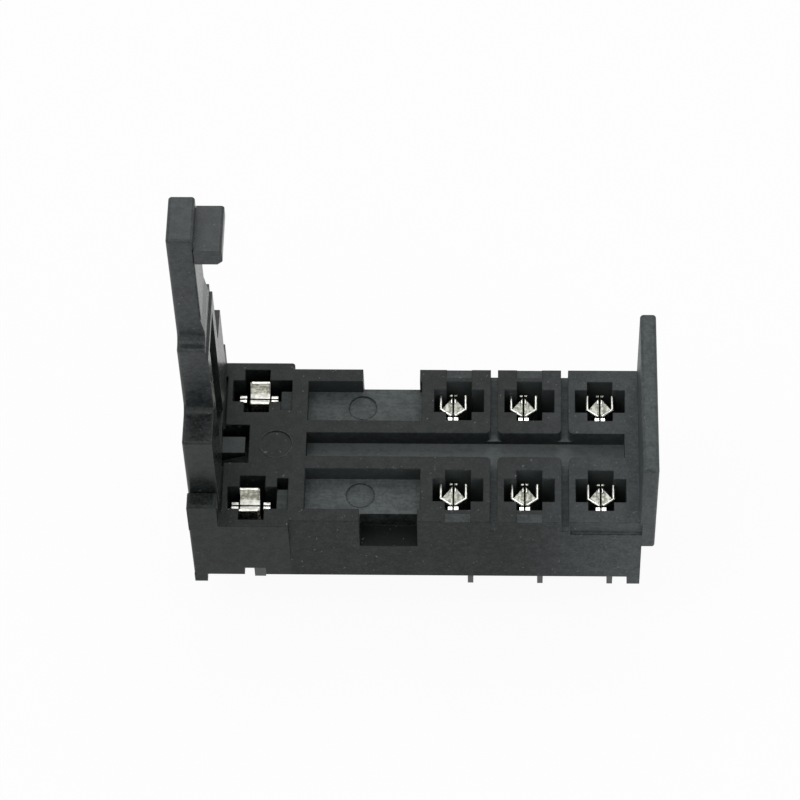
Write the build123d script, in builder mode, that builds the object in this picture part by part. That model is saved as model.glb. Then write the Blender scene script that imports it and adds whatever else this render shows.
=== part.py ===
"""Printed-circuit socket for a plug-in relay, with a tall retaining and ejector lever.

Frame: Z is up and 0 at the circuit board, where the feet stand. X runs along the socket from
the lever at its negative end to the end wall, and is 0 at the middle of the housing. Y runs
across it, with the centre plane at 0. Lengths are in millimetres.
"""
import os

from build123d import *

# Housing as a whole
housing_length = 32.47
top_height = 7.3
foot_height = 0.95
top_width = 12.8
side_draft = 0.5
overrun = 1.0

# Contact cells: three columns and two rows of crosses
column_pitch = 5.0
column_count = 3
row_pitch = 7.5
last_column_inset = 3.77
cell_arm_length = 3.54
cell_arm_width = 1.92
cell_post_width = 1.8
cell_post_length = 3.32
cell_floor = 0.95
block_reach = 2.65
groove_width = 0.5
groove_depth = 1.06
block_corner_radius = 0.38
lead_in_drop = 0.06

# Coil block with its two cells, at the lever end
coil_block_length = 6.95
coil_inset = 4.3
coil_row_pitch = 9.0
coil_arm_length = 3.46
coil_arm_width = 1.82
coil_post_length = 3.64
key_pocket_length = 0.78
key_pocket_width = 2.56
key_pocket_depth = 1.45
key_pocket_shift = 0.35
key_shelf_width = 1.9
key_shelf_depth = 0.5
mark_radius = 1.15
mark_depth = 0.06
mark_inset = 5.82

# Middle bay with its two pockets, the centre slot and the side windows
slot_width = 2.0
slot_depth = 1.4
slot_end_gap = 0.95
bay_land = 1.0
bay_rib = 1.03
bay_side_wall = 1.02
bay_floor = 1.0
window_length = 4.06
window_drop = 2.87
rear_ledge_inset = 5.6
front_ledge_inset = 4.9
window_offset = 0.16
cavity_wall = 0.75
ejector_radius = 1.0
ejector_depth = 0.12
ejector_offset = 3.7
ejector_shift = 0.33

# End wall
wall_thickness = 1.12
wall_width = 13.1
wall_rise = 6.85
wall_drop = 2.8
wall_overhang = 0.92
wall_corner_radius = 0.25

# Underside
foot_length = 0.9
foot_width = 2.4
pin_notch_length = 1.5
pin_notch_height = 0.85
relief_length = 5.0
relief_drop = 0.12
relief_height = 1.3
relief_depth = 0.08
edge_radius = 0.22

# Retaining lever
lever_thickness = 2.06
waist_thickness = 1.9
shank_thickness = 1.74
lever_step_in = 0.055
shank_width = 3.7
waist_width = 5.6
shoulder_width = 11.2
lever_rise = 26.45
waist_rise = 15.5
shoulder_rise = 8.55
waist_lip = 1.0
ramp_gap = 0.75
ramp_length = 1.05
hook_reach = 1.84
hook_thickness = 1.41
hook_drop = 1.08
hook_chamfer = 0.35
channel_width = 3.2
channel_rise = 13.9
channel_foot = 1.8
channel_depth = 0.9
lever_corner_radius = 0.22
ledge_radius = 0.5

# Hinge of the lever, and its ejector finger
hinge_rise = 0.6
hinge_radius = 0.6
hinge_clearance = 0.05
hinge_length = 0.85
hinge_end_gap = 0.1
lever_gap = 0.08
cheek_rise = 2.5
cheek_gap = 0.12
cheek_length = 2.05
finger_width = 1.34
finger_reach = 1.52
finger_sink = 0.15
finger_root_height = 0.95
finger_tip_height = 0.4
finger_slot_length = 1.8
finger_slot_depth = 2.2

# Folded sheet metal of the terminals. The fork is drawn with its slit along its own Y
sheet = 0.15
lip_sheet = 0.14
base_sheet = 0.3
terminal_sink = 0.7
fork_half_width = 0.88
fork_rear = 0.93
fork_bend = -0.24
fork_apex = -0.8
fork_slit = 0.12
lip_sink = 0.08
lip_drop = 0.24
lip_rear = 0.93
lip_side = -0.06
lip_inset = 0.17
front_tab = -1.05
front_tab_width = 0.3
front_tab_depth = 0.26
front_tab_drop = 0.06
rear_tab = 1.04
rear_tab_width = 0.2
rear_tab_depth = 0.14
rear_tab_drop = 0.2
rear_fork_shift = 0.42
front_fork_shift = 0.32

# What differs on the coil terminals, which are turned by a quarter and have straight walls
coil_sink = 0.25
coil_rear = 0.87
coil_wall_front = -0.42
coil_lip_front = -0.52
coil_lip_bend = 0.42
coil_bend_drop = 0.74
coil_slit_drop = 0.82
coil_lip_depth = 0.25
coil_tab_width = 0.22
coil_tab_depth = 0.48
coil_tab_drop = 0.82
coil_front_tab = -1.02
coil_rear_tab = 1.22

# Pins that go into the circuit board
pin_width = 0.8
pin_thickness = 0.4
pin_length = 3.88
pin_point = 0.15
pin_clearance = 0.06
pin_offset_x = 0.85
pin_offset_y = -0.5
coil_pin_offset = 0.5
coil_pin_side = 0.04

# Places that follow from the sizes
base_width = top_width + 2 * side_draft
left_end = -housing_length / 2
right_end = housing_length / 2
wall_inner = right_end - wall_thickness
body_right = right_end - wall_overhang
last_column = right_end - last_column_inset
column_places = [last_column - column_pitch * n for n in reversed(range(column_count))]
row_places = [row_pitch / 2, -row_pitch / 2]
block_left = column_places[0] - block_reach
coil_block_right = left_end + coil_block_length
coil_x = left_end + coil_inset
coil_rows = [coil_row_pitch / 2, -coil_row_pitch / 2]
bay_left = coil_block_right + bay_land
pocket_inner = slot_width / 2 + bay_rib
pocket_outer = top_width / 2 - bay_side_wall
cell_bottom = foot_height + cell_floor
slot_right = wall_inner - slot_end_gap
lever_outer = left_end + lever_step_in
lever_inner = lever_outer + lever_thickness
waist_inner = lever_outer + waist_thickness
shank_inner = lever_outer + shank_thickness
hinge_x = lever_outer + lever_thickness / 2
ramp_rise = waist_rise + ramp_gap
hinge_z = top_height + hinge_rise
knuckle_radius = lever_thickness / 2
lever_seat_x = lever_inner + lever_gap
lever_seat_z = hinge_z - knuckle_radius - lever_gap
cheek_inner = shoulder_width / 2 + cheek_gap
finger_slot_right = lever_inner + finger_slot_length
contact_pins = [(x + pin_offset_x, y + pin_offset_y) for y in row_places for x in column_places]
coil_pin_x = coil_x + coil_pin_side
coil_pins = [(coil_pin_x, coil_rows[0] - coil_pin_offset), (coil_pin_x, coil_rows[1] + coil_pin_offset)]


def slab(x0, x1, y0, y1):
    """Draws a rectangle between two corners in the current sketch."""
    with Locations(((x0 + x1) / 2, (y0 + y1) / 2)):
        Rectangle(x1 - x0, y1 - y0)


def cross(x, y, arm_length, arm_width, post_width, post_length):
    """Draws the cross of one cell in the current sketch."""
    slab(x - arm_length / 2, x + arm_length / 2, y - arm_width / 2, y + arm_width / 2)
    slab(x - post_width / 2, x + post_width / 2, y - post_length / 2, y + post_length / 2)


def edges_at(part, axis, height):
    """Picks the edges along one axis whose middle is at a height above the board."""
    return [edge for edge in part.edges().filter_by(axis)
            if abs(edge.center().Z - height) < edge.length / 1000]


# Housing: one moulding, with the contact blocks, the coil block, the bay and the end wall
with BuildPart() as housing:
    with BuildSketch(Plane.YZ.offset(coil_block_right)):
        with BuildLine():
            Polyline(
                (-base_width / 2, foot_height),
                (base_width / 2, foot_height),
                (top_width / 2, top_height),
                (-top_width / 2, top_height),
                close=True,
            )
        make_face()
    extrude(amount=body_right - coil_block_right)

    # The coil block is as wide at its top as at its base
    with BuildSketch(Plane.XY.offset(foot_height)):
        slab(left_end, coil_block_right, -base_width / 2, base_width / 2)
    extrude(amount=top_height - foot_height)
    fillet(edges_at(housing, Axis.Z, (foot_height + top_height) / 2), edge_radius)

    # Two cheeks carry the lever between them, over a low sill
    with BuildSketch(Plane.XY.offset(lever_seat_z)):
        slab(left_end - overrun, lever_seat_x, -cheek_inner, cheek_inner)
    extrude(amount=top_height, mode=Mode.SUBTRACT)
    for side in (-1, 1):
        with BuildSketch(Plane.XY.offset(lever_seat_z)):
            slab(left_end, left_end + cheek_length, side * cheek_inner, side * base_width / 2)
        extrude(amount=top_height + cheek_rise - lever_seat_z)
    cheek_top = housing.edges().filter_by(Axis.Y).group_by(Axis.Z)[-1]
    cheek_side = housing.edges().filter_by(Axis.X).group_by(Axis.Z)[-1].group_by(Axis.Y)
    fillet(cheek_top + cheek_side[0] + cheek_side[-1], edge_radius)
    with BuildSketch(Plane.XZ.offset(-cheek_inner - hinge_length - hinge_end_gap + cheek_gap)):
        with Locations((hinge_x, hinge_z)):
            Circle(hinge_radius + hinge_clearance)
    extrude(amount=2 * (cheek_inner + hinge_length + hinge_end_gap - cheek_gap), mode=Mode.SUBTRACT)

    # The end wall stands on the end of the last blocks
    with BuildSketch(Plane.YZ.offset(wall_inner)):
        slab(-wall_width / 2, wall_width / 2, top_height - wall_drop, top_height + wall_rise)
    extrude(amount=wall_thickness)
    fillet(edges_at(housing, Axis.Y, top_height + wall_rise), wall_corner_radius)
    fillet(edges_at(housing, Axis.X, top_height + wall_rise), edge_radius)

    # Feet at the four corners
    with BuildSketch(Plane.XY):
        for side in (-1, 1):
            y_out = side * base_width / 2
            y_in = side * (base_width / 2 - foot_width)
            slab(left_end, left_end + foot_length, y_in, y_out)
            slab(body_right - foot_length, body_right, y_in, y_out)
    extrude(amount=foot_height)

    # The centre slot runs from the coil block between the rows to the last column
    with BuildSketch(Plane.XY.offset(top_height)):
        slab(bay_left, slot_right, -slot_width / 2, slot_width / 2)
        for side in (-1, 1):
            slab(bay_left, block_left, side * pocket_inner, side * pocket_outer)
    extrude(amount=-slot_depth, mode=Mode.SUBTRACT)

    # A window takes the side wall away beside each pocket, whose floor runs on as a ledge
    window_right = block_left - window_offset
    window_left = window_right - window_length
    for side, ledge_inset in ((1, rear_ledge_inset), (-1, front_ledge_inset)):
        for inset, drop in ((pocket_outer, slot_depth), (ledge_inset, window_drop)):
            with BuildSketch(Plane.XY.offset(top_height)):
                slab(window_left, window_right, side * inset, side * (base_width / 2 + overrun))
            extrude(amount=-drop, mode=Mode.SUBTRACT)

    # Round ejector marks on the pocket floors, and the plain disc on the coil block
    with BuildSketch(Plane.XY.offset(top_height - slot_depth)):
        with Locations((window_left, ejector_shift + ejector_offset), (window_left, ejector_shift - ejector_offset)):
            Circle(ejector_radius)
    extrude(amount=-ejector_depth, mode=Mode.SUBTRACT)
    with BuildSketch(Plane.XY.offset(top_height)):
        with Locations((left_end + mark_inset, 0)):
            Circle(mark_radius)
    extrude(amount=-mark_depth, mode=Mode.SUBTRACT)

    # Hollow underside below the bay, with a rib left under the centre slot
    cavity_top = top_height - window_drop - bay_floor
    with BuildSketch(Plane.XY):
        for side in (-1, 1):
            slab(bay_left, block_left, side * slot_width / 2, side * (base_width / 2 - cavity_wall))
    extrude(amount=cavity_top, mode=Mode.SUBTRACT)

    # Grooves part the contact blocks and run over their outer faces
    with BuildSketch(Plane.XY.offset(top_height)):
        for x in column_places[:-1]:
            middle = x + column_pitch / 2
            for side in (-1, 1):
                slab(middle - groove_width / 2, middle + groove_width / 2,
                     side * (slot_width / 2 - overrun), side * (base_width / 2 + overrun))
    extrude(amount=-groove_depth, mode=Mode.SUBTRACT)
    fillet(edges_at(housing, Axis.Z, top_height - groove_depth / 2), block_corner_radius)

    # Cross-shaped cells
    with BuildSketch(Plane.XY.offset(cell_bottom)):
        for x in column_places:
            for y in row_places:
                cross(x, y, cell_arm_length, cell_arm_width, cell_post_width, cell_post_length)
        for y in coil_rows:
            cross(coil_x, y, coil_arm_length, coil_arm_width, cell_post_width, coil_post_length)
    extrude(amount=top_height, mode=Mode.SUBTRACT)

    # Sloping lead-ins from the cells of the first columns to the outer edge
    lead_in_start = row_pitch / 2 + cell_post_length / 2
    for x in column_places[:-1]:
        for side in (-1, 1):
            with BuildSketch(Plane.YZ.offset(x - cell_post_width / 2)):
                with BuildLine():
                    Polyline(
                        (side * lead_in_start, top_height),
                        (side * (top_width / 2 + overrun), top_height),
                        (side * (top_width / 2 + overrun), top_height - lead_in_drop),
                        (side * top_width / 2, top_height - lead_in_drop),
                        close=True,
                    )
                make_face()
            extrude(amount=cell_post_width, mode=Mode.SUBTRACT)

    # Key pockets beside the coil cells, deep at the rear and shallow over a shelf
    key_left = coil_x + coil_arm_length / 2
    key_places = [coil_rows[0] - key_pocket_shift, coil_rows[1] + key_pocket_shift]
    with BuildSketch(Plane.XY.offset(top_height)):
        for y in key_places:
            slab(key_left, key_left + key_pocket_length, y - key_pocket_width / 2, y + key_pocket_width / 2)
    extrude(amount=-key_shelf_depth, mode=Mode.SUBTRACT)
    with BuildSketch(Plane.XY.offset(top_height)):
        for y in key_places:
            rear = y + key_pocket_width / 2
            slab(key_left, key_left + key_pocket_length, rear + key_shelf_width - key_pocket_width, rear)
    extrude(amount=-key_pocket_depth, mode=Mode.SUBTRACT)

    # Slot in which the ejector finger swings
    with BuildSketch(Plane.XY.offset(top_height)):
        slab(hinge_x - lever_gap, finger_slot_right, -channel_width / 2, channel_width / 2)
    extrude(amount=-finger_slot_depth, mode=Mode.SUBTRACT)

    # Shallow relief in the side faces beside the last column
    with BuildSketch(Plane.XZ.offset(-base_width / 2 - overrun)):
        slab(body_right - relief_length, body_right,
             top_height - relief_drop - relief_height, top_height - relief_drop)
    extrude(amount=overrun + (base_width - top_width) / 2 + relief_depth, mode=Mode.SUBTRACT)
    with BuildSketch(Plane.XZ.offset(base_width / 2 + overrun)):
        slab(body_right - relief_length, body_right,
             top_height - relief_drop - relief_height, top_height - relief_drop)
    extrude(amount=-overrun - (base_width - top_width) / 2 - relief_depth, mode=Mode.SUBTRACT)

    # Holes for the board pins in the cell floors, and the channel under the coil cells
    with BuildSketch(Plane.XY):
        slab(coil_pin_x - pin_notch_length / 2, coil_pin_x + pin_notch_length / 2,
             -base_width / 2 - overrun, base_width / 2 + overrun)
    extrude(amount=foot_height + pin_notch_height, mode=Mode.SUBTRACT)
    with BuildSketch(Plane.XY):
        with Locations(*contact_pins):
            Rectangle(pin_thickness + 2 * pin_clearance, pin_width + 2 * pin_clearance)
        with Locations(*coil_pins):
            Rectangle(pin_width + 2 * pin_clearance, pin_thickness + 2 * pin_clearance)
    extrude(amount=cell_bottom, mode=Mode.SUBTRACT)
housing.part.label = "housing"


# Lever: a stepped plate with a hook at its top, hinged between the cheeks
with BuildPart() as lever:
    with BuildSketch(Plane.YZ.offset(lever_outer)):
        slab(-shoulder_width / 2, shoulder_width / 2, hinge_z, top_height + shoulder_rise)
        slab(-waist_width / 2, waist_width / 2, hinge_z, top_height + waist_rise)
        slab(-shank_width / 2, shank_width / 2, hinge_z, top_height + lever_rise)
    extrude(amount=lever_thickness)
    inner_corners = [edge for edge in lever.edges().filter_by(Axis.X)
                     if abs(abs(edge.center().Y) - shank_width / 2) < lever_gap
                     and edge.center().Z < top_height + ramp_rise
                     or abs(abs(edge.center().Y) - waist_width / 2) < lever_gap
                     and edge.center().Z < top_height + (waist_rise + shoulder_rise) / 2]
    fillet(inner_corners, ledge_radius)
    outer_corners = [edge for edge in lever.edges().filter_by(Axis.X)
                     if edge.center().Z > hinge_z + shoulder_rise / 2]
    outer_corners = [edge for edge in outer_corners
                     if min(abs(edge.center().Z - top_height - rise)
                            for rise in (lever_rise, waist_rise, shoulder_rise)) < lever_gap
                     and min(abs(abs(edge.center().Y) - width / 2)
                             for width in (shank_width, waist_width, shoulder_width)) < lever_gap]
    fillet(outer_corners, lever_corner_radius)

    # The plate thins by a small step below the top of its waist, and by a ramp above it
    with BuildSketch(Plane.XZ.offset(-waist_width)):
        with BuildLine():
            Polyline(
                (lever_inner + overrun, top_height + waist_rise - waist_lip),
                (waist_inner, top_height + waist_rise - waist_lip),
                (waist_inner, top_height + ramp_rise),
                (shank_inner, top_height + ramp_rise + ramp_length),
                (shank_inner, top_height + lever_rise + overrun),
                (lever_inner + overrun, top_height + lever_rise + overrun),
                close=True,
            )
        make_face()
    extrude(amount=2 * waist_width, mode=Mode.SUBTRACT)

    fillet(lever.edges().filter_by(Axis.Y).group_by(Axis.Z)[-1], lever_corner_radius)

    # Hook over the relay
    hook_top = top_height + lever_rise - hook_drop
    with BuildSketch(Plane.XY.offset(hook_top - hook_thickness)):
        slab(shank_inner, shank_inner + hook_reach, -shank_width / 2, shank_width / 2)
    extrude(amount=hook_thickness)
    hook_tip = lever.edges().filter_by(Axis.Y).group_by(Axis.X)[-1].sort_by(Axis.Z)
    chamfer(hook_tip[0], hook_chamfer)
    fillet(lever.edges().filter_by(Axis.Y).group_by(Axis.X)[-1].sort_by(Axis.Z)[-1], lever_corner_radius)

    # Channel up the inner side
    with BuildSketch(Plane.YZ.offset(lever_inner)):
        slab(-channel_width / 2, channel_width / 2, top_height + channel_foot, top_height + channel_rise)
    extrude(amount=-channel_depth, mode=Mode.SUBTRACT)

    # Rounded knuckle at the foot of the plate, and a trunnion at each end
    with BuildSketch(Plane.XZ.offset(-shoulder_width / 2)):
        with Locations((hinge_x, hinge_z)):
            Circle(knuckle_radius)
    extrude(amount=shoulder_width)
    with BuildSketch(Plane.XZ.offset(-shoulder_width / 2 - hinge_length)):
        with Locations((hinge_x, hinge_z)):
            Circle(hinge_radius)
    extrude(amount=shoulder_width + 2 * hinge_length)

    # Ejector finger, which lifts the relay when the lever is tilted out
    finger_top = top_height - finger_sink
    with BuildSketch(Plane.XZ.offset(-finger_width / 2)):
        with BuildLine():
            Polyline(
                (hinge_x, finger_top),
                (lever_inner + finger_reach, finger_top),
                (lever_inner + finger_reach, finger_top - finger_tip_height),
                (lever_inner, finger_top - finger_root_height),
                (hinge_x, finger_top - finger_root_height / 2),
                close=True,
            )
        make_face()
    extrude(amount=finger_width)
lever.part.label = "retaining_lever"


def contact_lips(floor, height):
    """Gives both lips of a contact, flat and sloping down to the slit, as plane, outline and thickness."""
    lips = []
    height = height - lip_sink
    for side in (-1, 1):
        bend = floor.from_local_coords(Vector(side * fork_half_width, fork_bend, height))
        front = floor.from_local_coords(Vector(side * fork_slit / 2, fork_apex, height))
        rear = floor.from_local_coords(Vector(side * fork_slit / 2, lip_rear, height - lip_drop))
        flank = floor.from_local_coords(Vector(side * (fork_half_width - lip_inset), lip_side, height))
        plane = Plane(origin=bend, x_dir=front - bend, z_dir=(front - bend).cross(rear - bend))
        points = [plane.to_local_coords(point) for point in (bend, front, rear, flank)]
        lips.append((plane, [(point.X, point.Y) for point in points], side * lip_sheet))
    return lips


def coil_lips(floor, height):
    """Gives both lips of a coil terminal, steep at the wall and nearly level at the slit."""
    plane = Plane(origin=floor.from_local_coords(Vector(0, coil_lip_front, height)),
                  x_dir=-floor.x_dir, z_dir=floor.y_dir)
    face = [(fork_half_width, 0), (coil_lip_bend, -coil_bend_drop), (fork_slit / 2, -coil_slit_drop)]
    back = [(x, z - coil_lip_depth) for x, z in reversed(face)]
    return [(plane, [(side * x, z) for x, z in face + back], coil_rear - coil_lip_front) for side in (-1, 1)]


contact_wall = [(fork_half_width, fork_rear), (fork_half_width, fork_bend), ((fork_slit + sheet) / 2, fork_apex)]
coil_wall = [(fork_half_width, coil_rear), (fork_half_width, coil_wall_front)]
contact_tabs = [(front_tab, front_tab_width, front_tab_depth, front_tab_drop),
                (rear_tab, rear_tab_width, rear_tab_depth, rear_tab_drop)]
coil_tabs = [(coil_front_tab, coil_tab_width, coil_tab_depth, coil_tab_drop),
             (coil_rear_tab, coil_tab_width, coil_tab_depth, coil_tab_drop)]


def fork_terminal(floor, pin, label, sink=terminal_sink, wall=contact_wall, lips=contact_lips, tabs=contact_tabs):
    """Makes one folded terminal on its cell floor, with its board pin at a place on the board."""
    height = top_height - sink - cell_bottom
    foot = floor.to_local_coords(Vector(pin[0], pin[1], cell_bottom))
    right = max(fork_half_width + sheet / 2, foot.X + pin_thickness / 2)
    with BuildPart() as terminal:
        with BuildSketch(floor):
            slab(-fork_half_width - sheet / 2, right, wall[-1][1], wall[0][1])
            for place, width, depth, drop in tabs:
                slab(-fork_slit / 2 - width, fork_slit / 2 + width, 0, place + depth / 2 * place / abs(place))
        extrude(amount=base_sheet)

        # Two side walls, which on a contact are folded inwards at the front towards the slit
        for side in (-1, 1):
            with BuildSketch(floor):
                with BuildLine():
                    Polyline(*[(side * x, y) for x, y in wall])
                trace(line_width=sheet)
            extrude(amount=height)

        # Lips that lead the blade of the relay into the slit
        for plane, outline, thickness in lips(floor, height):
            with BuildSketch(plane):
                with BuildLine():
                    Polyline(*outline, close=True)
                make_face()
            extrude(amount=thickness)

        # Tabs before and behind the slit
        for place, width, depth, drop in tabs:
            with BuildSketch(floor):
                for side in (-1, 1):
                    with Locations((side * (fork_slit + width) / 2, place)):
                        Rectangle(width, depth)
            extrude(amount=height - drop)

        # Board pin, with its end pointed
        with BuildSketch(floor):
            with Locations((foot.X, foot.Y)):
                Rectangle(pin_thickness, pin_width)
        extrude(amount=-pin_length - cell_bottom)
        chamfer(terminal.edges().group_by(Axis.Z)[0], pin_point)
    terminal.part.label = label
    return terminal.part


pieces = [housing.part, lever.part]
for row, y, row_shift in zip(("rear", "front"), row_places, (rear_fork_shift, front_fork_shift)):
    for n, x in enumerate(column_places):
        shift = row_shift if n < column_count - 1 else 0
        floor = Plane((x - shift, y, cell_bottom))
        pin = (x + pin_offset_x, y + pin_offset_y)
        pieces.append(fork_terminal(floor, pin, f"{row}_contact_{n + 1}"))
for row, y, pin, turn in zip(("rear", "front"), coil_rows, coil_pins, (-1, 1)):
    floor = Plane(origin=(coil_x, y, cell_bottom), x_dir=(0, turn, 0))
    pieces.append(fork_terminal(floor, pin, f"{row}_coil_contact", coil_sink, coil_wall, coil_lips, coil_tabs))

os.makedirs("parts", exist_ok=True)
for piece in pieces:
    export_step(piece, f"parts/{piece.label}.step")
    print(piece.label, "volume", round(piece.volume, 3), "solids", len(piece.solids()))
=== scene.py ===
# %% [markdown]
# # A relay socket for a circuit board
#
# The socket is a black moulding with eight cross-shaped cells. Each cell holds a folded spring
# contact that grips one blade of a relay. A tall lever at one end holds the relay down and lifts
# it out. The solids come from CAD, in metres, and this lesson gives them their finish, adds the
# finest metal and moulding details, and sets up the camera and the light.

# %% Load the model
import math

import bpy
from mathutils import Matrix, Vector


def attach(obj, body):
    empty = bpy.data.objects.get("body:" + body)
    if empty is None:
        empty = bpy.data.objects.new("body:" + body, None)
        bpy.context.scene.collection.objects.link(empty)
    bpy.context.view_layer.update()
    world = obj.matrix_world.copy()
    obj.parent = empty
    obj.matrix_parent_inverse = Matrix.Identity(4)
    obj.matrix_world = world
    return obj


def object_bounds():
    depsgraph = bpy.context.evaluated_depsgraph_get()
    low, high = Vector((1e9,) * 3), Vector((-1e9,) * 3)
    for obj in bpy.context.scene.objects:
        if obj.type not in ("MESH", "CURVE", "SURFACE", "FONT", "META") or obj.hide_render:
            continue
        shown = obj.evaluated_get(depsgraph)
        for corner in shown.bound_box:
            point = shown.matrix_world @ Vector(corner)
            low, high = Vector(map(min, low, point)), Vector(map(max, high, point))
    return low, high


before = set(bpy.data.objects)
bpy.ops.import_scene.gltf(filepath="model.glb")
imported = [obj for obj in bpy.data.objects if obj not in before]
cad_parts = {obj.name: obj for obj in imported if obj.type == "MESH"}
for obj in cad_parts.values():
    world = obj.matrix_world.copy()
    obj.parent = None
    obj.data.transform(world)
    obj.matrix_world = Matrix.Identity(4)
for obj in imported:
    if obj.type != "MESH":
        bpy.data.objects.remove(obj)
cad_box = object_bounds()
mm = 0.001
print("nodes:", sorted(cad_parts))
print("CAD box in mm:", [[round(v / mm, 2) for v in corner] for corner in cad_box])

# %% [markdown]
# ## The camera
#
# A long lens flattens a small object, and that is how a product photograph is taken. We could
# place the camera by eye, but the view would then never quite line up. Here it stands where a
# fit on the straight edges of the socket puts it: steeply above, a little to one side, and
# turned slightly about its own axis. The sensor is left at its usual width and only the lens
# changes, so the framing follows from one number.

# %% Place the camera
frame_pixels = 800
focal_pixels = 3620.9
sensor_width = 36
elevation = math.radians(55.99)
heading = math.radians(-2.933)
roll = math.radians(2.122)
aim_from_lens = Vector((9.11, 3.19, 254.948)) * mm
aim_point = Vector((7.46, 0, 7.3)) * mm
nearest_seen = 0.01
furthest_seen = 10

forward = Vector((math.sin(heading) * math.cos(elevation),
                  math.cos(heading) * math.cos(elevation),
                  -math.sin(elevation)))
level = Vector((math.cos(heading), -math.sin(heading), 0))
below = forward.cross(level)
right = level * math.cos(roll) + below * math.sin(roll)
down = below * math.cos(roll) - level * math.sin(roll)

lens = bpy.data.cameras.new("camera")
lens.sensor_width = sensor_width
lens.lens = focal_pixels / frame_pixels * sensor_width
lens.clip_start = nearest_seen
lens.clip_end = furthest_seen
stand = aim_point - right * aim_from_lens.x - down * aim_from_lens.y - forward * aim_from_lens.z
turn = Matrix((right, -down, -forward)).transposed().to_4x4()
camera = bpy.data.objects.new("camera", lens)
camera.matrix_world = Matrix.Translation(stand) @ turn
bpy.context.scene.collection.objects.link(camera)
bpy.context.scene.camera = camera
print("lens in mm:", round(lens.lens, 2), "distance in mm:", round(aim_from_lens.z / mm, 1))

# %% [markdown]
# ## Writing shaders as sums
#
# A procedural finish is arithmetic on patterns: a mask times a colour, one minus a mask. Wired by
# hand this is a long list of nodes, and the meaning is lost. A small class wraps a socket, so
# that the usual operators add the Math nodes and the finish reads as a formula. Every node, here
# and in the geometry further down, comes from one function, which takes the node's type, its
# settings and what goes into its sockets.

# %% A socket that does arithmetic
def add_node(tree, kind, sockets=(), **settings):
    """Adds a node, sets it up, then fills its sockets by name or number with values or links."""
    made = tree.nodes.new(kind)
    for name, value in settings.items():
        setattr(made, name, value)
    pairs = sockets.items() if isinstance(sockets, dict) else enumerate(sockets)
    for name, value in pairs:
        if isinstance(value, Wire):
            value = value.socket
        if isinstance(value, bpy.types.NodeSocket):
            tree.links.new(value, made.inputs[name])
        else:
            made.inputs[name].default_value = value
    return made


class Wire:
    """A shader output that can be added, multiplied and subtracted."""

    def __init__(self, graph, socket):
        self.graph = graph
        self.socket = socket

    def __add__(self, other):
        return self.graph.math("ADD", self, other)

    def __mul__(self, other):
        return self.graph.math("MULTIPLY", self, other)

    def __sub__(self, other):
        return self.graph.math("SUBTRACT", self, other)

    def __rsub__(self, other):
        return self.graph.math("SUBTRACT", other, self)

    __radd__ = __add__
    __rmul__ = __mul__


class Outputs:
    """The outputs of one node, each given as a Wire by its name or its number."""

    def __init__(self, graph, made):
        self.graph = graph
        self.made = made

    def __getitem__(self, name):
        return Wire(self.graph, self.made.outputs[name])


class Graph:
    """The node tree of one material or world."""

    def __init__(self, tree):
        self.tree = tree

    def node(self, kind, sockets=(), **settings):
        """Adds a node to this tree, and gives its outputs as wires."""
        return Outputs(self, add_node(self.tree, kind, sockets, **settings))

    def math(self, operation, *values):
        """Adds a Math node on wires and numbers."""
        return self.node("ShaderNodeMath", values, operation=operation)["Value"]


def new_material(name):
    """An empty material, and the graph that fills it."""
    material = bpy.data.materials.new(name)
    material.use_nodes = True
    material.node_tree.nodes.clear()
    return material, Graph(material.node_tree)


print("classes ready: Wire, Outputs, Graph")

# %% [markdown]
# ## What every finish is made of
#
# No surface is even. It has clouds and grain, and zones that were made or worn in another way.
# Noise gives the clouds and the grain. A zone could be painted as a picture, but that needs an
# unwrapped mesh. Here the place of a point and the way its face looks already tell the zone, so a
# band around a value, or a soft step from one value to another, is enough. Places are Object
# coordinates, in metres, so a pattern stays where it is on its piece when that piece moves. The
# way a face looks is told by its normal in the room, which turns with the piece. Only the lever
# turns, and the limit below is low enough to hold at the end of its travel too.

# %% Noise, bands and steps
# A face looks squarely along an axis where that part of its normal is above this
squarely = 0.9


def noise(place, scale, detail, roughness=0.5):
    """Cloudy noise from zero to one, with about as many cells to the metre as the scale says."""
    sockets = {"Vector": place, "Scale": scale, "Detail": detail, "Roughness": roughness}
    return place.graph.node("ShaderNodeTexNoise", sockets)["Fac"]


def within(value, middle, reach):
    """One where a value lies within reach of the middle, else zero."""
    return value.graph.math("COMPARE", value, middle, reach)


def above(value, limit):
    """One where a value is above the limit, else zero."""
    return value.graph.math("GREATER_THAN", value, limit)


def stepped(value, low, high):
    """Rises softly from zero at the low value to one at the high value."""
    sockets = {"Value": value, "From Min": low, "From Max": high}
    return value.graph.node("ShaderNodeMapRange", sockets,
                            interpolation_type="SMOOTHSTEP")["Result"]


# A Mix node has sockets of the same name for numbers and colours, so these go by their number
mix_factor, mix_first, mix_second, mixed_colour = 0, 6, 7, 2


def mix_colours(factor, first, second):
    """Blends two colours, each written as numbers or given as a wire."""
    sockets = {mix_factor: factor, mix_first: first, mix_second: second}
    return factor.graph.node("ShaderNodeMix", sockets, data_type="RGBA")[mixed_colour]


print("patterns: noise, within, above, stepped, mix_colours")
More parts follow.
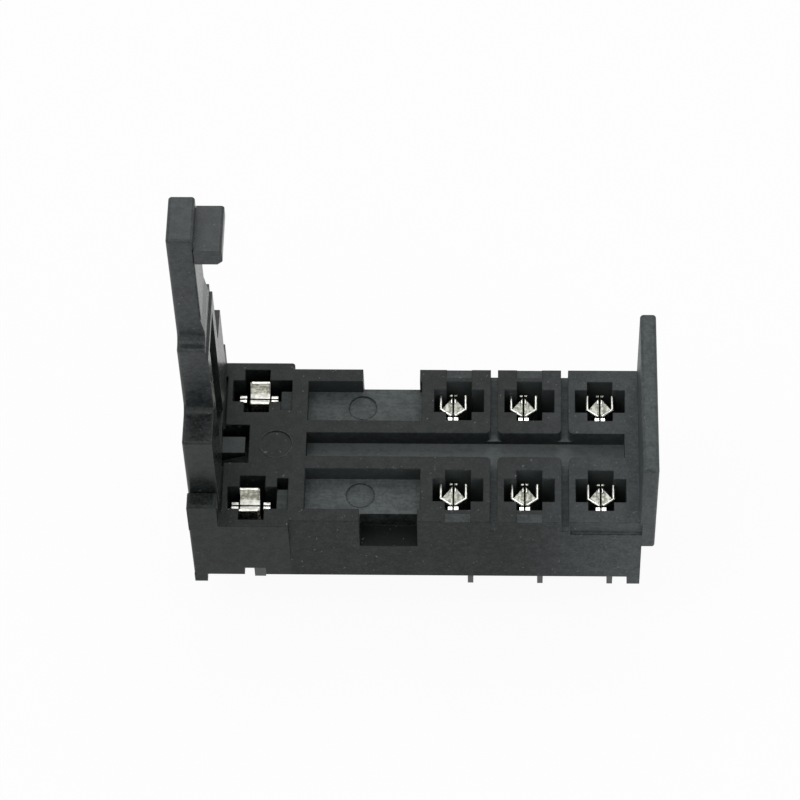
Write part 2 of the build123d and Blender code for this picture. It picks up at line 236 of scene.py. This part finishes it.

# %% [markdown]
# ## The skin of the moulding
#
# The socket is glass-filled plastic, near black. It isn't one flat colour: short fibres at the
# skin show as paler flecks, handling leaves soft clouds, and the tool's fine texture breaks up
# the gloss. One noise would show spots of mainly one size, so three sizes are added up. Each piece
# is also painted a little paler towards one end as painted light, which for the housing is a
# matter of X, towards the end wall, and for the lever a matter of height, towards its head.

# %% Mottled skin and painted light
fibre_tone = (0.07, 0.08, 0.08, 1)
# Painted light: one end of each piece is painted towards these paler tones, where more light falls.
painted_light_tones = (0.034, 0.042, 0.044, 1), (0.082, 0.095, 0.099, 1)
soft_edges = 0.38, 0.64
speckle_edges = 0.4, 0.62
fibre_edges = 0.66, 0.71
cloud_share, blotch_share, speckle_share = 0.15, 0.3, 0.55
fibre_strength = 0.4


def skin_with_painted_light(cloud, blotch, grain, axes, tones, lit_end):
    """The colour of the outer skin, flecked with fibres, with painted light along one axis."""
    uneven = (stepped(cloud, *soft_edges) * cloud_share
              + stepped(blotch, *soft_edges) * blotch_share
              + stepped(grain, *speckle_edges) * speckle_share)
    fibres = stepped(grain, *fibre_edges) * fibre_strength
    flecked = mix_colours(fibres, mix_colours(uneven, *tones), fibre_tone)
    # Painted light: the skin is painted paler towards one end, standing in for the light there.
    axis, begins, ends, amount = lit_end
    painted_light_share = stepped(axes[axis], begins, ends) * amount
    return mix_colours(painted_light_share, flecked, mix_colours(uneven, *painted_light_tones))


print("skin: shares add up to", cloud_share + blotch_share + speckle_share)

# %% [markdown]
# ## Floors and walls of the recesses
#
# The recesses come from spark-eroded parts of the tool, so their floors and walls are rougher and
# paler than the faces around them, and the toolmaker's strokes still show on the floors. The
# ledges in the side windows lie deep in shade, so they are painted dark as painted shade, and they
# are made dull. We could split the housing into zones with a material each, but its mesh has to
# stay as it is. So the zones are found by height, by place and by which way a face looks.

# %% Eroded floors and walls, painted shade on ledges
eroded_tones = (0.066, 0.077, 0.076, 1), (0.106, 0.122, 0.12, 1)
wall_tone = (0.062, 0.073, 0.072, 1)
# Painted shade: the ledges in the side windows are painted dark because they lie deep in shade.
ledge_shade_tone = (0.0042, 0.005, 0.005, 1)

# Zones, each given by its middle and its reach to either side
floor_heights = 6.1 * mm, 1.06 * mm
lead_in_heights = 7.23 * mm, 0.05 * mm
ledge_heights = 4.43 * mm, 0.2 * mm
bay_width = 0.0, 6.4 * mm
slot_width = 0.0, 1.05 * mm
slot_walls_beside = 1.0 * mm, 0.08 * mm
cell_walls_beside = 3.7 * mm, 2.6 * mm
block_length = 7.4 * mm, 7.4 * mm
pocket_length = -4.2 * mm, 4.1 * mm
facing_sideways = 0.0, 0.3

# Soft steps, each given by where it begins and where it ends
pocket_wall_foot = 5.9 * mm, 5.95 * mm
coil_block_edge = -9.5 * mm, -8.5 * mm

floor_share_at_coils = 0.5
lead_in_share = 0.33
cell_wall_share = 0.9
pocket_wall_share = 0.42
slot_wall_share = 0.2
slot_paleness = 0.45


def find_recesses(axes, faces):
    """Masks for the floors, lead-ins, walls and ledges of the recesses."""
    beside = axes["Y"].graph.math("ABSOLUTE", axes["Y"])
    up = above(faces["Z"], squarely)
    upright = within(faces["Z"], *facing_sideways)
    walls = upright * within(beside, *cell_walls_beside)
    blocks = within(axes["X"], *block_length)
    over_floor = stepped(axes["Z"], *pocket_wall_foot)
    return {
        "floor": within(axes["Z"], *floor_heights) * up * within(beside, *bay_width),
        "lead-in": within(axes["Z"], *lead_in_heights) * up * blocks,
        "slot": within(beside, *slot_width),
        "slot wall": upright * within(beside, *slot_walls_beside),
        "cell wall": walls * blocks,
        "pocket wall": walls * within(axes["X"], *pocket_length) * over_floor,
        "ledge": within(axes["Z"], *ledge_heights) * up,
    }


def eroded(skin, zones, worked, axes):
    """Lays the floors and walls over the skin, and painted shade over the ledges."""
    floor_tone = mix_colours(worked + zones["slot"] * slot_paleness, *eroded_tones)
    past_coils = stepped(axes["X"], *coil_block_edge)
    floor_share = past_coils * (1 - floor_share_at_coils) + floor_share_at_coils
    floors = zones["floor"] * floor_share + zones["lead-in"] * lead_in_share
    walls = (zones["cell wall"] * cell_wall_share + zones["pocket wall"] * pocket_wall_share
             + zones["slot wall"] * slot_wall_share)
    walled = mix_colours(walls, mix_colours(floors, skin, floor_tone), wall_tone)
    # The ledges get their painted shade here.
    return mix_colours(zones["ledge"], walled, ledge_shade_tone)


print("recess floors at", floor_heights[0] / mm, "mm, give or take", floor_heights[1] / mm)

# %% [markdown]
# ## Moulded plastic
#
# The whole finish puts the skin and the recesses together and adds pale edges, dust and gloss. The
# Bevel node rounds the shading at each corner without touching the mesh, and where it departs
# from the true normal there is an edge, so the pale edges can follow it; they are partly wear and
# partly a painted highlight. A few specks of dust lie over all of it. The roughness follows the
# same patterns as the colour, because a paler, coarser spot is a duller one too, and the lever's
# inner face is more polished than the rest of it.

# %% Moulded plastic finish
# The pale edge tone is partly wear and partly a painted highlight.
wear_and_highlight_tone = (0.07, 0.08, 0.08, 1)
dust_tone = (0.2, 0.21, 0.21, 1)
corner_radius = 0.09 * mm
edge_edges = 0.01, 0.22
worked_edges = 0.42, 0.58
dust_edges = 0.735, 0.76
wear_and_highlight_share = 0.12
dust_strength = 0.45
cloud_cells, blotch_cells, grain_cells, dust_cells = 260.0, 1700.0, 5200.0, 3900.0
stroke_cells = (900.0, 5600.0, 900.0)
stroke_turn = 0.15
grain_depth = 0.03 * mm
relief_strength = 0.35
blotch_relief = 0.8
# How much of the worked floors comes from each pattern
worked_strokes, worked_grain, worked_blotch = 0.3, 0.4, 0.3
# How much duller each makes the surface
cloud_dullness, speckle_dullness, floor_dullness, ledge_dullness = 0.12, 0.08, 0.2, 0.3


def moulded_plastic(name, tones, dullness, shine, lit_end, polish):
    """Satin moulded plastic: mottled skin, eroded recesses with painted shade on the ledges, edges
    pale partly from wear and partly as a painted highlight, and painted light at one end.
    """
    material, graph = new_material(name)
    place = graph.node("ShaderNodeTexCoord")["Object"]
    axes = graph.node("ShaderNodeSeparateXYZ", [place])
    true_normal = graph.node("ShaderNodeNewGeometry")["Normal"]
    faces = graph.node("ShaderNodeSeparateXYZ", [true_normal])
    rounded = graph.node("ShaderNodeBevel", {"Radius": corner_radius}, samples=6)["Normal"]
    cloud = noise(place, cloud_cells, detail=4.0)
    blotch = noise(place, blotch_cells, detail=3.0)
    grain = noise(place, grain_cells, detail=3.0, roughness=0.7)

    # The strokes are noise drawn out along X and turned a little
    drawn_out = graph.node("ShaderNodeMapping", {"Vector": place, "Rotation": (0, 0, stroke_turn),
                                                 "Scale": stroke_cells})["Vector"]
    strokes = noise(drawn_out, 1.0, detail=4.0, roughness=0.65)
    worked = stepped(strokes * worked_strokes + grain * worked_grain + blotch * worked_blotch,
                     *worked_edges)
    zones = find_recesses(axes, faces)
    surface = eroded(skin_with_painted_light(cloud, blotch, grain, axes, tones, lit_end), zones, worked, axes)

    turned = graph.node("ShaderNodeVectorMath", [rounded, true_normal],
                        operation="DOT_PRODUCT")["Value"]
    # Pale edges, partly wear and partly a painted highlight.
    edges_worn_and_highlit = mix_colours(stepped(1 - turned, *edge_edges) * wear_and_highlight_share, surface, wear_and_highlight_tone)
    dust = stepped(noise(place, dust_cells, detail=1.0), *dust_edges)
    inner = above(faces["X"], squarely)
    relief = grain + blotch * blotch_relief + strokes * zones["floor"]
    bump = graph.node("ShaderNodeBump", {"Height": relief, "Strength": relief_strength,
                                         "Distance": grain_depth, "Normal": rounded})["Normal"]
    roughness = (cloud * cloud_dullness + stepped(grain, *speckle_edges) * speckle_dullness
                 + zones["floor"] * floor_dullness + zones["ledge"] * ledge_dullness
                 + dullness - inner * polish)
    shader = graph.node("ShaderNodeBsdfPrincipled", {
        "Base Color": mix_colours(dust * dust_strength, edges_worn_and_highlit, dust_tone),
        "Roughness": roughness,
        "Specular IOR Level": shine,
        "Normal": bump})["BSDF"]
    graph.node("ShaderNodeOutputMaterial", {"Surface": shader})
    return material


skin_tones = (0.002, 0.0028, 0.0028, 1), (0.0255, 0.0302, 0.0303, 1)
# The ring round the disc is paler, partly from wear and partly as a painted highlight.
rim_tones = (0.03, 0.036, 0.037, 1), (0.075, 0.086, 0.088, 1)
# The end painted paler as painted light: its axis, where it begins, where it is full, and how much
housing_lit_end = "X", 5.5 * mm, 16.3 * mm, 1.0
lever_lit_end = "Z", 14.5 * mm, 22.5 * mm, 0.46
housing_plastic = moulded_plastic("moulding", skin_tones, dullness=0.36, shine=0.19,
                                  lit_end=housing_lit_end, polish=0.0)
lever_plastic = moulded_plastic("lever", skin_tones, dullness=0.3, shine=0.29,
                                lit_end=lever_lit_end, polish=0.1)
rim_plastic = moulded_plastic("rim", rim_tones, dullness=0.5, shine=0.19,
                              lit_end=housing_lit_end, polish=0.0)
print("plastics:", housing_plastic.name, lever_plastic.name, rim_plastic.name)

# %% [markdown]
# ## Plated contact metal
#
# The contacts are stamped from thin strip and plated, so they are bright and slightly warm. A
# perfect mirror would look like chrome. Drawing lines from the rolling and a little tarnish in
# clouds make it read as sheet metal. The tails below the housing are dipped in solder, which is
# duller, and they are painted dark, partly for the solder and partly as a painted reflection of
# the shaded floor under the socket; their height tells the finish where that starts. The small
# ears in front of the forks, and the rims, are burnished by the press tool and painted paler still
# as a painted highlight. The broad coil contacts are rolled the other way and plated heavier, and
# where their lips lie level they are painted paler as a painted highlight, so the same finish is
# made again with other numbers.

# %% Plated metal finish
# Painted highlight: ears and level coil lips are painted this pale tone; on the ears it is burnish
# too.
burnish_highlight_tone = (0.97, 0.97, 0.93, 1)
# The tails' dark tone is partly solder and partly a painted reflection of the shaded floor.
solder_and_shade_tone = (0.115, 0.121, 0.119, 1)
solder_line = 2.2 * mm
rear_ears = 2.7 * mm, 0.17 * mm
front_ears = -4.8 * mm, 0.17 * mm
ear_begins = 0.0, 0.1 * mm
ear_foot = 5.0 * mm, 5.2 * mm
lying_level = 0.85, 0.95
tarnish_edges = 0.4, 0.6
strip_corner_radius = 0.03 * mm
tarnish_cells = 4200.0
rolling_turn = 0.3
line_depth = 0.01 * mm
line_relief = 0.25
tarnish_relief = 0.5
# How much of the patches comes from each pattern
patch_tarnish, patch_lines = 0.6, 0.4
# How much duller each makes the surface
line_dullness, patch_dullness, solder_dullness = 0.12, 0.08, 0.2


def plated_metal(name, tones, dullness, rolling, level_lip_highlight):
    """Warm plated strip with drawing lines and light tarnish. Burnished ears, and level lips where
    asked, are painted paler as a painted highlight; the dull tails are painted dark, partly for the
    solder and partly as a painted reflection of the shaded floor.
    """
    material, graph = new_material(name)
    place = graph.node("ShaderNodeTexCoord")["Object"]
    axes = graph.node("ShaderNodeSeparateXYZ", [place])
    true_normal = graph.node("ShaderNodeNewGeometry")["Normal"]
    faces = graph.node("ShaderNodeSeparateXYZ", [true_normal])
    rounded = graph.node("ShaderNodeBevel", {"Radius": strip_corner_radius}, samples=4)["Normal"]
    drawn_out = graph.node("ShaderNodeMapping", {"Vector": place, "Rotation": (0, 0, rolling_turn),
                                                 "Scale": rolling})["Vector"]
    lines = noise(drawn_out, 1.0, detail=3.0)
    tarnish = noise(place, tarnish_cells, detail=4.0)
    patch = stepped(tarnish * patch_tarnish + lines * patch_lines, *tarnish_edges)

    # The ears are burnished and painted paler as a painted highlight.
    ears = ((within(axes["Y"], *rear_ears) + within(axes["Y"], *front_ears))
            * stepped(axes["X"], *ear_begins) * stepped(axes["Z"], *ear_foot))
    # Painted highlight: faces that lie level are painted paler, by the amount asked for.
    highlight_mask = ears + stepped(faces["Z"], *lying_level) * level_lip_highlight
    burnished_and_highlit = mix_colours(highlight_mask, mix_colours(patch, *tones), burnish_highlight_tone)
    # Below this height the tails are dull solder, painted dark partly as a painted reflection of
    # shade.
    below_solder_line = graph.math("LESS_THAN", axes["Z"], solder_line)
    relief = lines + tarnish * tarnish_relief
    bump = graph.node("ShaderNodeBump", {"Height": relief, "Strength": line_relief,
                                         "Distance": line_depth, "Normal": rounded})["Normal"]
    roughness = (lines * line_dullness + patch * patch_dullness + below_solder_line * solder_dullness
                 + dullness)
    shader = graph.node("ShaderNodeBsdfPrincipled", {
        "Base Color": mix_colours(below_solder_line, burnished_and_highlit, solder_and_shade_tone),
        "Metallic": 1.0,
        "Roughness": roughness,
        "Normal": bump})["BSDF"]
    graph.node("ShaderNodeOutputMaterial", {"Surface": shader})
    return material


fork_tones = (0.43, 0.435, 0.39, 1), (0.17, 0.175, 0.145, 1)
coil_tones = (0.84, 0.84, 0.765, 1), (0.32, 0.32, 0.28, 1)
# The rims are burnished and painted paler still as a painted highlight.
rim_highlight_tones = (0.93, 0.93, 0.88, 1), (0.8, 0.8, 0.73, 1)
lines_along_y = (7000.0, 900.0, 900.0)
lines_along_x = (900.0, 6000.0, 6000.0)
contact_metal = plated_metal("contact_metal", fork_tones, dullness=0.26,
                             rolling=lines_along_y, level_lip_highlight=0.0)
# The coil contacts have their level lips painted paler as a painted highlight.
coil_metal = plated_metal("coil_metal", coil_tones, dullness=0.3,
                          rolling=lines_along_x, level_lip_highlight=0.45)
# The rim metal: burnished, and painted paler as a painted highlight.
burnished_highlight_metal = plated_metal("burnished_highlight_metal", rim_highlight_tones, dullness=0.22,
                               rolling=lines_along_y, level_lip_highlight=0.0)
print("metals:", contact_metal.name, coil_metal.name, burnished_highlight_metal.name)

# %% [markdown]
# ## Dressing the solids
#
# Every solid arrives with one plain material from CAD. Its shape is right, so it isn't modelled
# again: the new finish only takes the place of the old one in the solid's own slots.

# %% Dress the solids
finishes = {"housing": housing_plastic, "retaining_lever": lever_plastic,
            "rear_coil_contact": coil_metal, "front_coil_contact": coil_metal}
for name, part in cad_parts.items():
    for slot in part.material_slots:
        slot.material = finishes.get(name, contact_metal)
print("dressed", len(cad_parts), "solids")

# %% [markdown]
# ## Rounded edges on the folded forks
#
# A stamped strip has rolled edges, and on the real contacts they are the brightest thing in view.
# The solids have square ones. Every fork has the same two walls folded towards the slit, so one
# Geometry Nodes tree draws the line of a fold, sweeps a small round section along it, and puts a
# copy on each fork. Each lip also has a crease that catches the light. Modelling each rim by hand
# would give the same shape eight times over, with eight chances to get it wrong.

# %% Helpers for geometry trees
def result_of(tree, kind, sockets=(), **settings):
    """The first output of a new geometry node."""
    return add_node(tree, kind, sockets, **settings).outputs[0]


def start_tree(name, numbers):
    """A new tree with named number inputs, a geometry input and a material input."""
    tree = bpy.data.node_groups.new(name, "GeometryNodeTree")
    tree.interface.new_socket("Geometry", in_out="INPUT", socket_type="NodeSocketGeometry")
    tree.interface.new_socket("Geometry", in_out="OUTPUT", socket_type="NodeSocketGeometry")
    for label in numbers:
        tree.interface.new_socket(label, in_out="INPUT", socket_type="NodeSocketFloat")
    tree.interface.new_socket("Finish", in_out="INPUT", socket_type="NodeSocketMaterial")
    return tree, add_node(tree, "NodeGroupInput").outputs


def sweep(tree, curve, radius, sides):
    """Sweeps a round section along a curve, with closed ends."""
    section = result_of(tree, "GeometryNodeCurvePrimitiveCircle",
                        {"Resolution": sides, "Radius": radius})
    return result_of(tree, "GeometryNodeCurveToMesh",
                     {"Curve": curve, "Profile Curve": section, "Fill Caps": True})


def finish_tree(tree, inputs, swept):
    """Copies what was swept to each point, turned by the point's own angle, as real mesh."""
    angle = result_of(tree, "GeometryNodeInputNamedAttribute", {"Name": "turn"}, data_type="FLOAT")
    rotation = result_of(tree, "ShaderNodeCombineXYZ", {"Z": angle})
    copies = result_of(tree, "GeometryNodeInstanceOnPoints",
                       {"Points": inputs["Geometry"], "Instance": swept, "Rotation": rotation})
    real = result_of(tree, "GeometryNodeRealizeInstances", {"Geometry": copies})
    shown = result_of(tree, "GeometryNodeSetMaterial",
                      {"Geometry": real, "Material": inputs["Finish"]})
    smooth = result_of(tree, "GeometryNodeSetShadeSmooth", {"Geometry": shown})
    add_node(tree, "NodeGroupOutput", {"Geometry": smooth})


print("tree helpers ready")

# %% [markdown]
# ## The line of a fold
#
# Seen from above, each wall of a fork runs straight to a bend and then slants to an apex at the
# slit. The crease is a third, short line beside the slit. The three lines are the same on both
# sides, mirrored, so a loop over the two sides draws them from the same inputs.

# %% A tree that sweeps the rolled edges
rim_sides = 12
fold_tree, fold = start_tree("rolled_edges", [
    "Half width", "Rear", "Bend", "Apex", "Apex drop", "Slit", "Crease start", "Crease end",
    "Crease drop", "Section"])


def fold_point(side, x, y, z=None):
    """A corner of the fold line on one side of the slit, from named inputs."""
    across = result_of(fold_tree, "ShaderNodeMath", [fold[x], side], operation="MULTIPLY")
    corner = {"X": across, "Y": fold[y]}
    if z:
        corner["Z"] = fold[z]
    return result_of(fold_tree, "ShaderNodeCombineXYZ", corner)


runs = add_node(fold_tree, "GeometryNodeJoinGeometry")
for side in (-1, 1):
    bend = fold_point(side, "Half width", "Bend")
    for start, end in ((fold_point(side, "Half width", "Rear"), bend),
                       (bend, fold_point(side, "Slit", "Apex", "Apex drop")),
                       (fold_point(side, "Slit", "Crease start", "Crease drop"),
                        fold_point(side, "Slit", "Crease end", "Crease drop"))):
        line = result_of(fold_tree, "GeometryNodeCurvePrimitiveLine", {"Start": start, "End": end})
        fold_tree.links.new(sweep(fold_tree, line, fold["Section"], rim_sides), runs.inputs[0])
finish_tree(fold_tree, fold, runs.outputs[0])
print("fold tree has", len(fold_tree.nodes), "nodes")

# %% [markdown]
# ## From a tree to a piece
#
# A tree does nothing until it sits in a modifier on an object. Here that object is a few loose
# points, one for each copy. The modifier's inputs go by their identifiers, not by their names.
# Copies made by a tree are only instances, and they would be lost in the export, so the tree makes
# them real and the result is turned into a plain mesh. Then the modifier comes off, and the piece
# is told which finish it takes and which body carries it. Sizes and places come in millimetres.

# %% Put a tree to work on a set of places
def spread(name, tree, places, turns, values, finish):
    """Makes one plain mesh by running a tree on points, each with a turn, and lets it ride."""
    mesh = bpy.data.meshes.new(name + "_points")
    mesh.from_pydata([tuple(v * mm for v in point) for point in places], [], [])
    mesh.attributes.new("turn", "FLOAT", "POINT").data.foreach_set("value", turns)
    seed = bpy.data.objects.new(name + "_points", mesh)
    bpy.context.scene.collection.objects.link(seed)
    modifier = seed.modifiers.new(name, "NODES")
    modifier.node_group = tree
    for item in tree.interface.items_tree:
        if item.in_out == "INPUT" and item.name in values:
            modifier[item.identifier] = values[item.name] * mm
        if item.in_out == "INPUT" and item.name == "Finish":
            modifier[item.identifier] = finish
    evaluated = seed.evaluated_get(bpy.context.evaluated_depsgraph_get())
    plain = bpy.data.meshes.new_from_object(evaluated)
    seed.modifiers.remove(modifier)
    piece = bpy.data.objects.new(name, plain)
    bpy.context.scene.collection.objects.link(piece)
    bpy.data.objects.remove(seed)
    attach(piece, "socket")
    print(name, "has", len(plain.polygons), "faces")


print("a tree can be put to work")

# %% [markdown]
# ## Rims on the forks and the coil contacts
#
# Where each fork stands is read from its solid, so a change in CAD moves the rim too. The fork's
# wall is the leftmost thing on a contact and the ear the foremost, and from there the middle is a
# fixed way off. The coil forks are turned by a quarter and their lips hang deeper, which is only a
# different set of inputs for the same tree. They are turned opposite ways, so the end with the
# rim is the rear one on one and the front one on the other.

# %% Set the rims on their contacts
def box_of(name):
    """The lowest and the highest corner of a solid, in millimetres."""
    points = [point.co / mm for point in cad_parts[name].data.vertices]
    low = Vector([min(point[axis] for point in points) for axis in range(3)])
    high = Vector([max(point[axis] for point in points) for axis in range(3)])
    return low, high


fork_half_width = 0.955
ear_reach = 1.18
coil_reach = 1.46
rim_drop = 0.03

contact_places = []
for row in ("rear", "front"):
    for column in (1, 2, 3):
        low, high = box_of(f"{row}_contact_{column}")
        contact_places.append((low.x + fork_half_width, low.y + ear_reach, high.z - rim_drop))
# The rims take the burnished metal, painted paler as a painted highlight.
spread("contact_edges", fold_tree, contact_places, [0.0] * len(contact_places),
       {"Half width": 0.88, "Rear": 0.9, "Bend": -0.24, "Apex": -0.79, "Apex drop": 0, "Slit": 0.13,
        "Crease start": 0.38, "Crease end": 0.68, "Crease drop": -0.2, "Section": 0.07},
       burnished_highlight_metal)

lip_drop = -0.74
rim_end, plain_end = 0.86, -0.4
coil_fold = {"Half width": 0.88, "Apex drop": lip_drop, "Slit": 0.42, "Crease drop": lip_drop,
             "Section": 0.055}
for row, turn, far, near in (("rear", -math.pi / 2, plain_end, rim_end),
                             ("front", math.pi / 2, rim_end, plain_end)):
    low, high = box_of(f"{row}_coil_contact")
    middle = high.x - coil_reach if row == "rear" else low.x + coil_reach
    place = (middle, (low.y + high.y) / 2, high.z - rim_drop)
    ends = {"Rear": far, "Bend": near, "Apex": near, "Crease start": near, "Crease end": far}
    # These rims take the same burnished metal with its painted highlight.
    spread(f"{row}_coil_edges", fold_tree, [place], [turn], coil_fold | ends,
           burnished_highlight_metal)

# %% [markdown]
# ## Witness rings
#
# Where the tool's ejector pins pushed the warm moulding out, a hair of plastic stands up as a
# ring. Two show on the pocket floors, and a third runs round the plain disc on the coil block.
# They differ in place, size and tone, and in nothing else, so they are one tree again, on a
# circle this time.

# %% Rings left by the ejector pins
circle_steps = 64
ring_sides = 8
ring_tree, ring = start_tree("witness_rings", ["Radius", "Section"])
circle = result_of(ring_tree, "GeometryNodeCurvePrimitiveCircle",
                   {"Resolution": circle_steps, "Radius": ring["Radius"]})
finish_tree(ring_tree, ring, sweep(ring_tree, circle, ring["Section"], ring_sides))

pocket_middle = -4.405
pocket_floor = 5.9
rear_mark, front_mark = 4.03, -3.37
disc_middle = -10.415
disc_top = 7.3
mark_places = [(pocket_middle, mark, pocket_floor) for mark in (rear_mark, front_mark)]
spread("pocket_rings", ring_tree, mark_places, [0.0] * len(mark_places),
       {"Radius": 1.0, "Section": 0.03}, housing_plastic)
# This ring takes the paler plastic, partly worn and partly a painted highlight.
spread("disc_ring", ring_tree, [(disc_middle, 0, disc_top)], [0.0],
       {"Radius": 1.15, "Section": 0.045}, rim_plastic)

# %% [markdown]
# ## Floor and world
#
# The socket stands on a plain pale floor under soft light from all round, so nothing distracts
# from it. The background is white by its own colour. We could reach white by adding lamps until
# the floor burns out, but the metal would burn out with it. Instead the camera, and what glossy
# surfaces see, get a white of strength one, while the light that falls on the plastic stays plain.
# A part of the lit paper stays in the mix, so the floor keeps the shadow at the socket's foot.

# %% Floor and world
white = (1, 1, 1, 1)
paper_tone = (0.85, 0.85, 0.85, 1)
white_strength = 1.0
share_of_white = 0.94
surround_strength = 0.55
floor_reach = 0.9


def seen_directly(graph):
    """One where a ray comes from the camera, a gloss or a glass surface, else zero."""
    path = graph.node("ShaderNodeLightPath")
    nearly = graph.math("MAXIMUM", path["Is Camera Ray"], path["Is Glossy Ray"])
    return graph.math("MAXIMUM", nearly, path["Is Transmission Ray"])


floor_height = cad_box[0][2]
floor_mesh = bpy.data.meshes.new("floor")
floor_mesh.from_pydata([(side_x * floor_reach, side_y * floor_reach, floor_height)
                        for side_x, side_y in ((-1, -1), (1, -1), (1, 1), (-1, 1))],
                       [], [(0, 1, 2, 3)])
floor = bpy.data.objects.new("floor", floor_mesh)
bpy.context.scene.collection.objects.link(floor)
floor_finish, graph = new_material("floor")
paper = graph.node("ShaderNodeBsdfDiffuse", {"Color": paper_tone})["BSDF"]
glow = graph.node("ShaderNodeEmission", {"Color": white, "Strength": white_strength})["Emission"]
glowing = seen_directly(graph) * share_of_white
whiter = graph.node("ShaderNodeMixShader", [glowing, paper, glow])["Shader"]
graph.node("ShaderNodeOutputMaterial", {"Surface": whiter})
floor_mesh.materials.append(floor_finish)

world = bpy.data.worlds.new("studio")
world.use_nodes = True
world.node_tree.nodes.clear()
bpy.context.scene.world = world
studio = Graph(world.node_tree)
lit, seen = (
    studio.node("ShaderNodeBackground", {"Color": white, "Strength": strength})["Background"]
    for strength in (surround_strength, white_strength))
both = studio.node("ShaderNodeMixShader", [seen_directly(studio), lit, seen])["Shader"]
studio.node("ShaderNodeOutputWorld", {"Surface": both})
print("floor at", round(floor_height / mm, 2), "mm")

# %% [markdown]
# ## Soft lamps
#
# Three square lamps, large beside so small an object, give soft shadows: one in front at the
# left, one low at the right, one behind. The key lamp could stand at the right, but from there the
# end wall throws its shadow over the nearest cells. Their power is low, because the world already
# lights the socket from all round.

# %% Soft lamps
lamp_target = Vector((0, 0, 0.01))


def softbox(name, position, size, power):
    """A square lamp aimed at the socket."""
    lamp = bpy.data.objects.new(name, bpy.data.lights.new(name, "AREA"))
    lamp.data.size = size
    lamp.data.energy = power
    lamp.location = position
    lamp.rotation_euler = (lamp_target - Vector(position)).to_track_quat("-Z", "Y").to_euler()
    bpy.context.scene.collection.objects.link(lamp)
    print(name, power, "W")


softbox("key", position=(-0.16, -0.08, 0.36), size=0.22, power=0.35)
softbox("side", position=(0.26, -0.22, 0.08), size=0.2, power=0.2)
softbox("back", position=(0.02, 0.24, 0.36), size=0.2, power=0.38)

# %% [markdown]
# ## The colour view
#
# The colour view stays plain, so that a written colour renders about as written.

# %% Keep the colour view plain
bpy.context.scene.view_settings.view_transform = "Standard"
